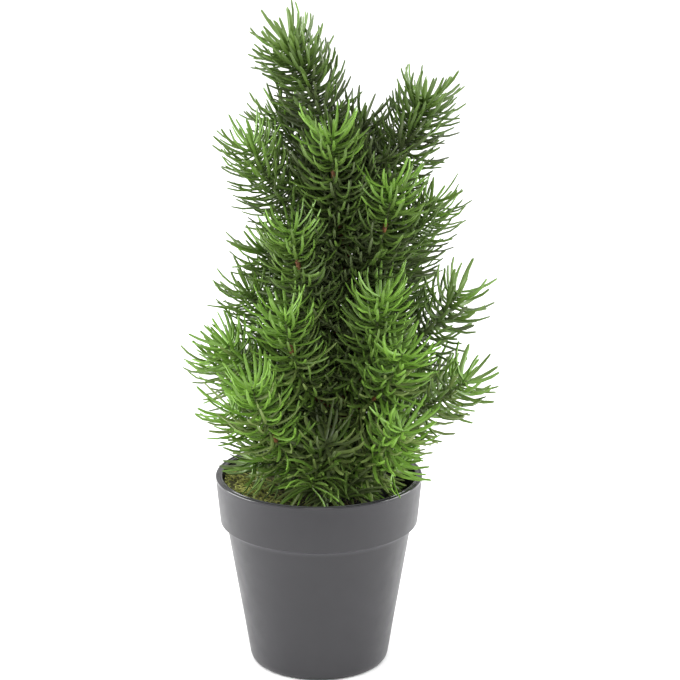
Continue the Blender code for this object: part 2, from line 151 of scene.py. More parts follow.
# Boughs and the twigs that carry the needles
BARE_SHARE = 0.28
BOUGH_ROOT_RADIUS = 1.7 * MM
BOUGH_TIP_RADIUS = 1.25 * MM
BOUGH_RINGS = 30
BOUGH_OVERLAP = 1.5 * MM  # how far a bough's bark runs on under the first needles
TWIG_ROOT_RADIUS = 1.05 * MM
TWIG_TIP_RADIUS = 0.6 * MM
TWIG_RINGS = 40
TWIG_RELIEF = 0.25 * MM
BRANCH_STEPS = 24
BRANCH_HANDLES = ((0, 0), (0.42, 0.28), (0.78, 0.62), (1, 1))  # shares of its reach and rise
UPTURN_SHIFTS = ((0, 0), (0.25, -0.15), (0.15, -0.12), (0, 0))  # added to them for an upturn of 1
FINE_STRETCH = 0.3  # below 1, a limb's furrows are longer than wide
COARSE_STRETCH = 0.5
COARSE_GRAIN = 0.4  # share of the fine furrows' number
FURROW_BIAS = 0.35  # more of the surface is pushed in than out

# How needles leave their twig and where they must not go
GAP = 0.3 * MM
SPREAD_BASE = math.radians(93)
SPREAD_TIP = math.radians(75)
SPREAD_JITTER = math.radians(9)
TIP_JITTER = math.radians(30)  # more of it in the mop at the tip
TIP_LENGTH_SHARE = 0.9
TIP_BACK = 2.5 * MM  # the twig stops short, so that its longer end needles reach as far
LENGTH_SPREAD = 0.24
LIFT = 0.15  # how far needles also bend upwards
BASE_SWEEP_SHARE = 0.85  # of the full sweep, at the foot of a sprig
TIP_SWEEP_SHARE = 1.15
FOOT_FRESH_AND_LIT = 0.3  # share of its freshness that a sprig's foot has, lowered for age and for painted shade inside the crown
TIP_FRESH_AND_LIT = 1.05
LOW_PAINTED_LIGHT = 0.5  # painted light, added at the foot of the lowest sprigs, which stand in more light
LOW_UNDER = 135  # millimetres, the height under which sprigs count as low
LOW_RANGE = 30
OLIVE_SHARE = 0.55  # of a low sprig's needles, faded to olive
COLLAR_BACK = (18 * MM, 34 * MM)  # from the tip of a sprig to its moulded collar
COLLAR_LENGTH = 5 * MM
COLLAR_BARE = 1.5 * MM  # each way from its middle, with no needles
COLLAR_RADIUS = 1.05 * MM
COLLAR_RADII = (0.8, 1.0, 1.0, 0.85, 0.9, 1.05, 1.0, 0.75)  # shares of it along the collar
TIP_CROWDING = 0.68  # below 1, needles stand closer together towards the tip
STOUTNESS = 0.5  # how much thicker needles are where their spacing is not the usual one
OVER_BOX = 0.02  # share of each side by which needles may pass the solids' box
LATE = 5  # power of the share along a twig that keeps a change to its very tip
TWIST_SCATTER = 0.5
CURL_SCATTER = 0.12
FRESH_AND_LIT_SCATTER = 0.1
SWEEP_SCATTER = (0.5, 1.5)  # shares of the sweep
GOLDEN_ANGLE = math.radians(137.508)
TURNS_TO_TRY = tuple(math.radians(turn) for turn in (0, 16, -16, 32, -32))
LIMB_CLEARANCE = 0.1 * MM
LIMB_MARGIN = 6 * MM  # limbs further off than this aren't measured
MOSS_CLEARANCE = -0.5 * MM
SEED = 11
TRUNK_OWNER = -1

# Outline of one needle: shares of its length, and of its full width there
NEEDLE_STATIONS = (0.03, 0.25, 0.5, 0.75, 0.95)
NEEDLE_WIDTHS = (0.7, 0.92, 1.0, 0.92, 0.66)
NEEDLE_PATH = (0.0, *NEEDLE_STATIONS, 1.0)
NEEDLE_FACES = 4 * (len(NEEDLE_STATIONS) + 1)
TONES_BY_FRESH_AND_LIT = ("shade", "deep", "middle", "light", "new")  # from dark to bright: age and painted shade up to new growth and painted light


class Sprig(NamedTuple):
    """One branch.  Lengths in millimetres, heading in degrees from +X towards +Y."""

    name: str
    heading: float
    root: float
    reach: float
    rise: float
    fresh_and_lit: float  # 0 for dark needles, old and in painted shade; 1 for bright needles, new growth in painted light
    upturn: float = 0.0  # 1 for a tip that stands nearly upright, below 0 for one that leans out
    space: float = 1.0  # over 1 for a sparse sprig


# Each sprig's freshness also paints light and shade: front sprigs are brighter, back ones and the
# low front one darker.
SPRIGS = (
    Sprig("leader", 180, 259, 21, 50, 0.55, -1, 0.7),
    Sprig("top_front", 250, 205, 21, 64, 0.80, 0.5),
    Sprig("top_right", 7, 217, 40, 64, 0.45, 0, 0.8),
    Sprig("top_left", 186, 192, 47, 69, 0.65),
    Sprig("top_back_left", 147, 232, 35, 40, 0.50),
    Sprig("top_back_right", 84, 218, 26, 38, 0.50),
    Sprig("upper_front_right", 323, 184, 25, 60, 0.85, 0.5),
    Sprig("upper_right", 12, 180, 41, 51, 0.60),
    Sprig("upper_front_left", 218, 163, 34, 61, 0.70, 0.6),
    Sprig("upper_left", 160, 172, 46, 34, 0.60),
    Sprig("upper_back", 95, 185, 38, 52, 0.60, 0.8),
    Sprig("middle_front_left", 228, 127, 38, 58, 0.90, 0.8),
    Sprig("middle_front_right", 303, 136, 34, 58, 0.85, 0.8),
    Sprig("middle_left", 174, 136, 46, 52, 0.55),
    Sprig("middle_right", 0, 133, 58, 55, 0.50, 0, 1.7),
    Sprig("middle_far_left", 186, 125, 55, 38, 0.75, 0, 1.2),
    Sprig("middle_back_right", 52, 150, 50, 48, 0.65, 0.6),
    Sprig("middle_back_left", 122, 146, 50, 50, 0.70, 0.6),
    Sprig("low_front_right", 314, 121, 45, 46, 1.00, 0.3, 1.2),
    Sprig("low_right", 350, 110, 66, 37, 0.60, 0, 1.6),
    Sprig("low_left", 157, 117, 66, 29, 0.65, 0, 1.25),
    Sprig("low_front_left", 220, 92, 48, 59, 1.00, 0.5, 1.25),
    Sprig("low_back", 84, 116, 56, 38, 0.75, 0.8),
    Sprig("low_back_right", 32, 104, 60, 34, 0.70, 0.4),
    Sprig("low_back_left", 128, 102, 58, 34, 0.70, 0.6),
    Sprig("foot_front_right", 318, 99, 48, 30, 1.00, 0.2, 1.2),
    Sprig("foot_front", 265, 99, 27, 24, 0.15, 0.6, 1.5),
    Sprig("foot_left", 192, 99, 50, 34, 0.80, 0, 1.25),
)
DROOPING_SPRIGS = (
    Sprig("droop_front_left", 252, 114, 37, -17, 0.55),
    Sprig("droop_front", 285, 98, 33, -6, 0.20),
    Sprig("droop_front_right", 328, 100, 40, 5, 1.0),
    Sprig("droop_left", 198, 101, 43, 5, 0.40),
    Sprig("droop_back", 100, 100, 32, 3, 0.50),
    Sprig("droop_back_right", 50, 100, 34, 3, 0.55),
)
# Sprigs whose moulded collar shows
COLLARED = (
    "top_front", "upper_front_right", "upper_front_left", "upper_back", "middle_front_left",
    "middle_left", "middle_back_right", "middle_back_left", "low_front_right", "low_front_left",
    "low_left", "low_back_right", "foot_left", "droop_front_left", "droop_front_right",
    "droop_back",
)
INNER_SPRIGS = 30
INNER_ROOT = (100, 240)  # millimetres, as the next two, for the lowest and the highest
INNER_REACH = (33, 17)
INNER_RISE = (24, 30)
# The inner sprigs' dark greens are painted shade inside the crown
INNER_FRESH_AND_LIT = (0.4, 0.15)
INNER_FRONT_REACH_AND_LIGHT = 0.35  # share of their reach and freshness left to those that face the front, made darker as painted shade in the hollow there

# Which sprigs each piece of needles holds, by the start of their names
TIERS = {
    "needles_top": ("leader", "top_"),
    "needles_upper": ("upper_",),
    "needles_middle": ("middle_",),
    "needles_low": ("low_",),
    "needles_foot": ("foot_", "droop_"),
    "needles_inner_low": ("inner_low",),
    "needles_inner_high": ("inner_high",),
}

# Stage
FLOOR_SIZE = 14
OVERHEAD_TURN = (0.2, -0.15, 0)
OVERHEAD_SPREAD = math.radians(90)
FILL_OVER = 0.35  # how much steeper than the camera the fill light looks down
FILL_SPREAD = math.radians(30)
SIDE_PLACE = (1.3, 0.15, 0.4)  # mirrored for the left one
SIDE_SIZE = 1.0
RIGHT_SHARE = 0.85  # of the left softbox's strength
PLANT_MIDDLE = 0.16
FRONT_RANGE = (-0.8, 0.2)  # from the front of the room to where its light is full


# Settings


def colour_setting(name, description, default):
    """A colour that a user may change."""
    return FloatVectorProperty(
        name=name, description=description, subtype="COLOR", default=default, min=0, max=1
    )


def setting(name, description, default, **kind):
    """A number that a user may change."""
    return FloatProperty(name=name, description=description, default=default, **kind)


class FirPot(bpy.types.PropertyGroup):
    """Colour and finish of the pot."""

    colour: colour_setting(
        "Plastic colour", "Dark grey of the pot, with a trace of violet", (0.0178, 0.0172, 0.0203)
    )
    roughness: setting("Roughness", "Satin of the plastic", 0.4, min=0, max=1)
    lip: setting("Lip roughness", "Shinier on the lip", 0.12, min=0, max=1)
    # Painted highlight: how much paler the ring under the band is painted
    painted_highlight: setting("Scuff", "How much paler the ring under the band is", 2.5)


class FirMoss(bpy.types.PropertyGroup):
    """The moss and its loose strands."""

    strands: IntProperty(
        name="Strands", description="Loose moss strands", default=1500, min=0, max=4000
    )
    strand_length: setting("Strand length", "Longest moss strand", 11 * MM, unit="LENGTH")
    strand_radius: setting("Strand radius", "Half its thickness", 0.24 * MM, unit="LENGTH")
    bright: colour_setting("Bright moss", "Yellow-green strands on the mound", (0.44, 0.46, 0.12))
    olive: colour_setting("Olive moss", "Strands round the mound", (0.24, 0.26, 0.075))
    brown: colour_setting("Brown moss", "Dry strands", (0.16, 0.13, 0.06))


class FirBark(bpy.types.PropertyGroup):
    """Relief and colours of the trunk, boughs, twigs and collars."""

    relief: setting("Relief", "Depth of the trunk's furrows", 0.45 * MM, unit="LENGTH")
    ridge: colour_setting("Ridges", "Orange-brown of the raised bark", (0.22, 0.085, 0.032))
    furrow: colour_setting("Furrows", "Dark brown between the ridges", (0.035, 0.02, 0.012))
    collar: colour_setting("Collar", "Moulded collars on the sprigs", (0.25, 0.095, 0.035))
    twig: colour_setting("Twigs", "Olive green of the needled twigs", (0.10, 0.13, 0.045))


class FirNeedles(bpy.types.PropertyGroup):
    """Size, number and greens of the needles, which paint light and shade as well as age."""

    length: setting("Length", "Longest needle", 25.5 * MM, unit="LENGTH")
    width: setting("Width", "Across the blade", 1.45 * MM, unit="LENGTH")
    thickness: setting("Thickness", "Through the blade", 1.05 * MM, unit="LENGTH")
    pitch: setting("Pitch", "From one needle to the next", 0.36 * MM, unit="LENGTH")
    sweep: setting(
        "Sweep", "How far a needle curves forward", math.radians(50), subtype="ANGLE"
    )
    # These greens paint light and shade as well as age: shade and deep fall inside the crown and at
    # the back, light and new on lit front tips
    shade: colour_setting("Shaded green", "Oldest needles, by the trunk", (0.074, 0.102, 0.036))
    olive: colour_setting("Olive", "Faded low needles", (0.16, 0.222, 0.062))
    deep: colour_setting("Deep green", "Old needles", (0.084, 0.142, 0.029))
    middle: colour_setting("Middle green", "Most of the needles", (0.108, 0.185, 0.033))
    light: colour_setting("Light green", "Younger needles", (0.13, 0.245, 0.035))
    new: colour_setting("New growth", "Tips of fresh sprigs", (0.165, 0.315, 0.042))


class FirStage(bpy.types.PropertyGroup):
    """Camera, floor and studio light."""

    focal_length: setting("Focal length", "Camera lens in millimetres", 150.0)
    tilt: setting("Tilt", "How far the camera looks down", math.radians(16.4), subtype="ANGLE")
    place: FloatVectorProperty(
        name="Camera place",
        description="Where the camera stands",
        default=(0.0102, -1.3, 0.545),
        subtype="TRANSLATION",
    )
    floor: colour_setting("Floor", "Colour of the floor", (0.9, 0.9, 0.9))
    sky: setting("Room light", "Strength of the even light", 0.9, min=0)
    front: setting("Front light", "Strength of the even light in front", 0.5, min=0)
    key: setting("Overhead light", "Softbox above", 1.8)
    fill: setting("Fill light", "Softbox over the camera", 0.85)
    sides: setting("Side lights", "Softboxes at the sides", 31.0)


# Mesh helpers


def select_only(obj):
    """Select one object and make it active."""
    bpy.ops.object.select_all(action="DESELECT")
    obj.select_set(True)
    bpy.context.view_layer.objects.active = obj


def edit(obj):
    """Enter edit mode on one object with all of it selected."""
    select_only(obj)
    bpy.ops.object.mode_set(mode="EDIT")
    bpy.ops.mesh.select_all(action="SELECT")


def leave_edit():
    """Back to object mode."""
    bpy.ops.object.mode_set(mode="OBJECT")


def named(name):
    """Give the active object and its data one name."""
    obj = bpy.context.object
    obj.name = name
    obj.data.name = name
    return obj


def turned(name, profile, steps):
    """Draw a disc up through (radius, height) rings, so that it ends closed."""
    radius, height = profile[0]
    bpy.ops.object.select_all(action="DESELECT")
    bpy.ops.mesh.primitive_circle_add(vertices=steps, radius=radius, fill_type="NGON")
    obj = named(name)
    edit(obj)
    bpy.ops.mesh.select_mode(type="FACE")
    bpy.ops.mesh.select_all(action="SELECT")
    bpy.ops.transform.translate(value=(0, 0, height))
    for (radius, height), (wider, higher) in zip(profile, profile[1:]):
        bpy.ops.mesh.extrude_region_move(
            TRANSFORM_OT_translate={"value": (0, 0, higher - height)}
        )
        scale = wider / radius
        bpy.ops.transform.resize(value=(scale, scale, 1), center_override=(0, 0, higher))
    bpy.ops.mesh.select_all(action="SELECT")
    bpy.ops.mesh.normals_make_consistent(inside=False)
    leave_edit()
    return obj


def round_ring(obj, radius, height, width, segments):
    """Bevel the ring of edges at a radius and height."""
    edit(obj)
    bpy.ops.mesh.select_mode(type="EDGE")
    bpy.ops.mesh.select_all(action="DESELECT")
    mesh = bmesh.from_edit_mesh(obj.data)
    near = 0.02 * MM
    for edge in mesh.edges:
        ends = [(math.hypot(vert.co.x, vert.co.y), vert.co.z) for vert in edge.verts]
        edge.select = all(math.dist(end, (radius, height)) < near for end in ends)
    bmesh.update_edit_mesh(obj.data)
    bpy.ops.mesh.bevel(offset=width, segments=segments, profile=0.5, affect="EDGES")
    leave_edit()


def shade_round(obj, sharp_over):
    """Smooth shading with the edges over an angle kept sharp."""
    select_only(obj)
    bpy.ops.object.shade_smooth_by_angle(angle=math.radians(sharp_over))


def spindles(name, shapes, sharp_over=180):
    """Closed spindles, each a point, rings of corners and a point, as one object."""
    vertices, faces = [], []
    for start, *rings, end in shapes:
        first, sides = len(vertices), len(rings[0])
        vertices.append(start)
        for ring in rings:
            vertices += ring
        last = len(vertices)
        vertices.append(end)
        for corner in range(sides):
            after = (corner + 1) % sides
            faces.append((first, first + 1 + after, first + 1 + corner))
            for low in range(first + 1, last - sides, sides):
                high = low + sides
                faces.append((low + corner, low + after, high + after, high + corner))
            faces.append((last - sides + corner, last - sides + after, last))
    mesh = bpy.data.meshes.new(name)
    mesh.from_pydata(vertices, [], faces)
    mesh.update()
    mesh.shade_smooth()
    if sharp_over < 180:
        mesh.set_sharp_from_angle(angle=math.radians(sharp_over))
    obj = bpy.data.objects.new(name, mesh)
    bpy.context.scene.collection.objects.link(obj)
    return obj


def finish_piece(obj, slot, *nodes):
    """Ride on the part's one body and hide the solids of the CAD nodes it is drawn in place of; the
    slot is not used.
    """
    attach(obj, "root")
    if nodes:
        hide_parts(*nodes)


# Materials

MIX_FIRST, MIX_SECOND, MIX_RESULT = 6, 7, 2  # colour sockets of a Mix node, by number


def feed(node, inputs):
    """Set a node's inputs to values, or link them to sockets."""
    for name, value in inputs.items():
        socket = node.inputs[name]
        if isinstance(value, bpy.types.NodeSocket):
            node.id_data.links.new(value, socket)
        else:
            socket.default_value = value
    return node


class Finish:
    """A material that is built node by node."""

    def __init__(self, name, colour, roughness):
        self.material = bpy.data.materials.new(name)
        self.material.use_nodes = True
        self.tree = self.material.node_tree
        self.shader = self.tree.nodes["Principled BSDF"]
        self.set("Base Color", (*colour, 1))
        self.set("Roughness", roughness)
        self.place = self.node("ShaderNodeTexCoord").outputs["Object"]

    def set(self, name, value):
        """Give one of the shader's inputs a value of its own, or link it to a socket."""
        feed(self.shader, {name: value})

    def node(self, kind, **inputs):
        """A new node of this material."""
        return feed(self.tree.nodes.new(kind), inputs)

    def axis(self, letter):
        """One of the object coordinates."""
        return self.node("ShaderNodeSeparateXYZ", Vector=self.place).outputs[letter]

    def stretched(self, scale):
        """Object coordinates with each axis scaled."""
        return self.node("ShaderNodeMapping", Vector=self.place, Scale=scale).outputs["Vector"]

    def noise(self, scale, detail=3.0, roughness=0.55, place=None):
        """Cloudy noise with that many features to the metre."""
        settings = {"Scale": scale, "Detail": detail, "Roughness": roughness}
        node = self.node("ShaderNodeTexNoise", Vector=place or self.place, **settings)
        return node.outputs["Fac"]

    def spread(self, value, low, high, start=0.3, end=0.7):
        """Map a value's range to another."""
        ranges = {"From Min": start, "From Max": end, "To Min": low, "To Max": high}
        return self.node("ShaderNodeMapRange", Value=value, **ranges).outputs["Result"]

    def ramp(self, value, *stops):
        """Colours at places along a value."""
        node = self.node("ShaderNodeValToRGB", Fac=value)
        elements = node.color_ramp.elements
        while len(elements) < len(stops):
            elements.new(0.5)
        for element, (place, colour) in zip(elements, stops):
            element.position = place
            element.color = (*colour, 1)
        return node.outputs["Color"]

    def mix(self, share, first, second):
        """Blend two colours by a share."""
        node = self.node("ShaderNodeMix", Factor=share)
        node.data_type = "RGBA"
        feed(node, {MIX_FIRST: first, MIX_SECOND: second})
        return node.outputs[MIX_RESULT]

    def relief(self, height, distance, strength=1.0, **under):
        """Bump from a height, over another bump if one is given as its Normal."""
        node = self.node(
            "ShaderNodeBump", Strength=strength, Distance=distance, Height=height, **under
        )
        self.set("Normal", node.outputs["Normal"])
        return node.outputs["Normal"]

    def on(self, obj):
        """Put the material on an object in place of what it had."""
        if obj.data.materials:
            for slot in obj.material_slots:
                slot.link = "OBJECT"
                slot.material = self.material
        else:
            obj.data.materials.append(self.material)


def tuned(colour, factor):
    """A colour made lighter or darker."""
    return tuple(min(1.0, part * factor) for part in colour)


def pot_finish(settings):
    """Satin moulded plastic: faint mottling, a fine grain, slight unevenness and a painted
    highlight in a pale ring under the band.
    """
    base = tuple(settings.colour)
    finish = Finish("moulded grey plastic", base, settings.roughness)
    height = finish.axis("Z")
    mottle = finish.noise(60, 4.0)
    plain = finish.ramp(mottle, (0.3, tuned(base, 0.93)), (0.7, tuned(base, 1.07)))
    # Painted highlight: a pale ring that fades downward from just under the band's foot
    pale = (*tuned(base, settings.painted_highlight), 1)
    under = finish.spread(height, 0, 1, BAND_FOOT - PAINTED_HIGHLIGHT_DEPTH, PAINTED_HIGHLIGHT_TOP)
    with_painted_highlight = finish.mix(under, plain, pale)
    above = finish.spread(height, 0, 1, BAND_FOOT - PAINTED_HIGHLIGHT_EDGE, BAND_FOOT)
    finish.set("Base Color", finish.mix(above, with_painted_highlight, plain))
    rough = settings.roughness
    satin = finish.spread(finish.noise(140, 3.0), rough - 0.04, rough + 0.05)
    shine = (POT_HEIGHT - depth for depth in LIP_SHINE)
    lip = finish.spread(height, rough, settings.lip, *shine)
    feed(lip.node, {"To Min": satin})
    finish.set("Roughness", lip)
    waves = finish.relief(finish.noise(28, 1.0), 0.25 * MM, 0.25)
    finish.relief(finish.noise(2600, 2.0), 0.03 * MM, 0.5, Normal=waves)
    return finish


def fill_finish():
    """Black-brown foam under the moss."""
    finish = Finish("dark fill", (0.02, 0.017, 0.014), 0.95)
    crumbs = finish.noise(700)
    brown = finish.ramp(crumbs, (0.3, (0.012, 0.01, 0.009)), (0.7, (0.035, 0.03, 0.024)))
    finish.set("Base Color", brown)
    finish.relief(finish.noise(900), 0.4 * MM)
    return finish


def mat_finish(settings):
    """Matted moss, olive on the left and darkening to the right into bare dark fill with painted
    shade.
    """
    finish = Finish("moss mat", tuple(settings.olive), 0.95)
    # Painted shade: the mat darkens from olive on the left to bare dark fill in shade on the right
    side = finish.spread(finish.axis("X"), 0.0, 1.0, -0.03, 0.012)
    fibres = finish.noise(520, 5.0, 0.7)
    green = finish.ramp(
        fibres,
        (0.32, (0.03, 0.027, 0.012)),
        (0.5, (0.10, 0.095, 0.032)),
        (0.68, tuned(settings.olive, 0.9)),
    )
    bare_fill_and_shade = finish.ramp(fibres, (0.4, (0.006, 0.006, 0.006)), (0.7, (0.025, 0.027, 0.02)))
    finish.set("Base Color", finish.mix(side, green, bare_fill_and_shade))
    finish.relief(fibres, 0.8 * MM)
    return finish


def strand_finish(name, colour):
    """Dry fibre in one plain colour with a fine grain."""
    finish = Finish(name, colour, 0.8)
    finish.relief(finish.noise(3000), 0.05 * MM, 0.5)
    return finish


def bark_finish(settings):
    """Streaked orange-brown ridges over dark furrows."""
    ridge = tuple(settings.ridge)
    finish = Finish("moulded bark", ridge, 0.72)
    long_grain = finish.stretched((1.0, 1.0, 0.22))
    streaks = finish.noise(900, 5.0, 0.65, place=long_grain)
    stops = ((0.3, tuple(settings.furrow)), (0.5, tuned(ridge, 0.55)), (0.7, ridge))
    finish.set("Base Color", finish.ramp(streaks, *stops))
    finish.set("Roughness", finish.spread(streaks, 0.62, 0.85))
    finish.relief(streaks, 0.25 * MM)
    return finish


def needle_finish(name, colour):
    """Moulded green plastic in one plain colour, with an uneven gloss."""
    finish = Finish(name, colour, 0.36)
    finish.set("Specular IOR Level", 0.34)
    finish.set("Roughness", finish.spread(finish.noise(420, 2.0), 0.3, 0.46))
    finish.relief(finish.noise(1500, 2.0), 0.06 * MM, 0.5)
    return finish


# Growth rule


def unit(vector):
    """A vector's direction."""
    return vector / np.linalg.norm(vector)


def blend(start, end, share):
    """A value that goes from start to end."""
    return start + (end - start) * share


def catmull_rom(points, per_span):
    """A smooth line through points, with the ends' slopes taken from their spans."""
    knots = np.array([2 * points[0] - points[1], *points, 2 * points[-1] - points[-2]])
    line = []
    for index in range(len(points) - 1):
        before, start, end, after = knots[index : index + 4]
        slope = end - before
        bend = 2 * before - 5 * start + 4 * end - after
        turn = 3 * start - before - 3 * end + after
        for step in range(per_span):
            t = step / per_span
            line.append(0.5 * (2 * start + slope * t + bend * t**2 + turn * t**3))
    line.append(points[-1])
    return np.array(line)


def trunk_line():
    """The trunk's centre line, foot to top."""
    knots = [np.array((x, y, z)) * MM for z, x, y in TRUNK_LINE]
    return catmull_rom(knots, 3)


def trunk_radius(height):
    """Even taper with a flare at the foot."""
    foot, top = TRUNK_LINE[0][0] * MM, TRUNK_LINE[-1][0] * MM
    share = (height - foot) / (top - foot)
    flare = max(0.0, 1 - (height - foot) / TRUNK_FLARE_HEIGHT) ** 2
    plain = blend(TRUNK_BASE_RADIUS, TRUNK_TOP_RADIUS, share)
    return plain + (TRUNK_FOOT_RADIUS - TRUNK_BASE_RADIUS) * flare


def branch_line(sprig, trunk):
    """A branch's centre line from the trunk's centre, leaving it flat and turning up."""
    root = read_at(sprig.root * MM, trunk[:, 2], trunk)
    heading = math.radians(sprig.heading)
    out = np.array((math.cos(heading), math.sin(heading), 0)) * sprig.reach * MM
    rise = np.array((0, 0, sprig.rise)) * MM
    shares = np.array(BRANCH_HANDLES) + sprig.upturn * np.array(UPTURN_SHIFTS)
    handles = [root + across * out + upward * rise for across, upward in shares]
    line = []
    for step in range(BRANCH_STEPS + 1):
        t = step / BRANCH_STEPS
        weights = ((1 - t) ** 3, 3 * t * (1 - t) ** 2, 3 * t**2 * (1 - t), t**3)
        line.append(sum(weight * handle for weight, handle in zip(weights, handles)))
    return np.array(line)


def read_at(value, values, line):
    """The point of a line where its running values reach a value."""
    return np.array([np.interp(value, values, line[:, axis]) for axis in range(3)])


def lengths_along(line):
    """Distance along a line to each of its points."""
    return np.concatenate([[0], np.cumsum(np.linalg.norm(np.diff(line, axis=0), axis=1))])


def stretch(line, start, end, count):
    """Evenly spaced points of a line between two distances along it."""
    along = lengths_along(line)
    return np.array([read_at(distance, along, line) for distance in np.linspace(start, end, count)])


def moss_height(x, y):
    """Top of the moss: level round the trunk, lower at the wall, banked up on the left."""
    edge = RIM_RADIUS - LIP
    out = min(1.0, max(0.0, (math.hypot(x, y) - MOSS_FLAT_RADIUS) / (edge - MOSS_FLAT_RADIUS)))
    level = blend(MOSS_TOP, MOSS_RIM_TOP, out)
    along = x * math.cos(MOSS_BANK_HEADING) + y * math.sin(MOSS_BANK_HEADING)
    past_flat = max(0.0, along - MOSS_FLAT_RADIUS) / (edge - MOSS_FLAT_RADIUS)
    return level + MOSS_BANK * past_flat**MOSS_BANK_CURVE


def segment_gaps(start, end, starts, ends):
    """Shortest distances from one segment to each of several."""
    first, second = end - start, ends - starts
    between = start - starts
    a, e = first.dot(first), np.einsum("ij,ij->i", second, second)
    b, c = second @ first, between @ first
    f = np.einsum("ij,ij->i", second, between)
    spread = np.maximum(a * e - b * b, 1e-18)
    s = np.clip((b * f - c * e) / spread, 0, 1)
    t = np.clip((b * s + f) / e, 0, 1)
    s = np.clip((b * t - c) / a, 0, 1)
    gap = between + s[:, None] * first - t[:, None] * second
    return np.linalg.norm(gap, axis=1)


class Limbs:
    """The trunk and every branch, as thick line segments that each have an owner."""

    def __init__(self, lines):
        """Keep the segments of lines, each with its radii and its owner's number."""
        self.starts = np.vstack([line[:-1] for line, _, _ in lines])
        self.ends = np.vstack([line[1:] for line, _, _ in lines])
        counts = [len(line) - 1 for line, _, _ in lines]
        radii = [np.broadcast_to(of_line, count) for (_, of_line, _), count in zip(lines, counts)]
        self.radii = np.concatenate(radii)
        self.owners = np.repeat([owner for _, _, owner in lines], counts)

    def are_clear_of(self, path, radius, owner):
        """Whether a path keeps its clearance from every limb but its owner."""
        middle = (path[0] + path[-1]) / 2
        reach = np.linalg.norm(path[-1] - path[0]) / 2
        away = np.linalg.norm((self.starts + self.ends) / 2 - middle, axis=1)
        near = away < reach + np.linalg.norm(self.ends - self.starts, axis=1) / 2 + LIMB_MARGIN
        near &= self.owners != owner
        if not near.any():
            return True
        limit = self.radii[near] + radius + LIMB_CLEARANCE
        for start, end in zip(path, path[1:]):
            if (segment_gaps(start, end, self.starts[near], self.ends[near]) <= limit).any():
                return False
        return True


def clears_pot(points, radius):
    """Whether each point is over the rim, or inside it and above the moss."""
    for x, y, z in points:
        if z > POT_HEIGHT + GAP + radius:
            continue
        inside = math.hypot(x, y) < RIM_RADIUS - LIP - 2 * GAP - radius
        if not inside or z < moss_height(x, y) + MOSS_CLEARANCE + radius:
            return False
    return True


def in_reach(points, radius):
    """Whether points stay inside the solids' box, but for a small share of each side."""
    low, high = np.array(CAD_BOX[0]), np.array(CAD_BOX[1])
    over = (high - low) * OVER_BOX - radius
    return bool((points > low - over).all() and (points < high + over).all())


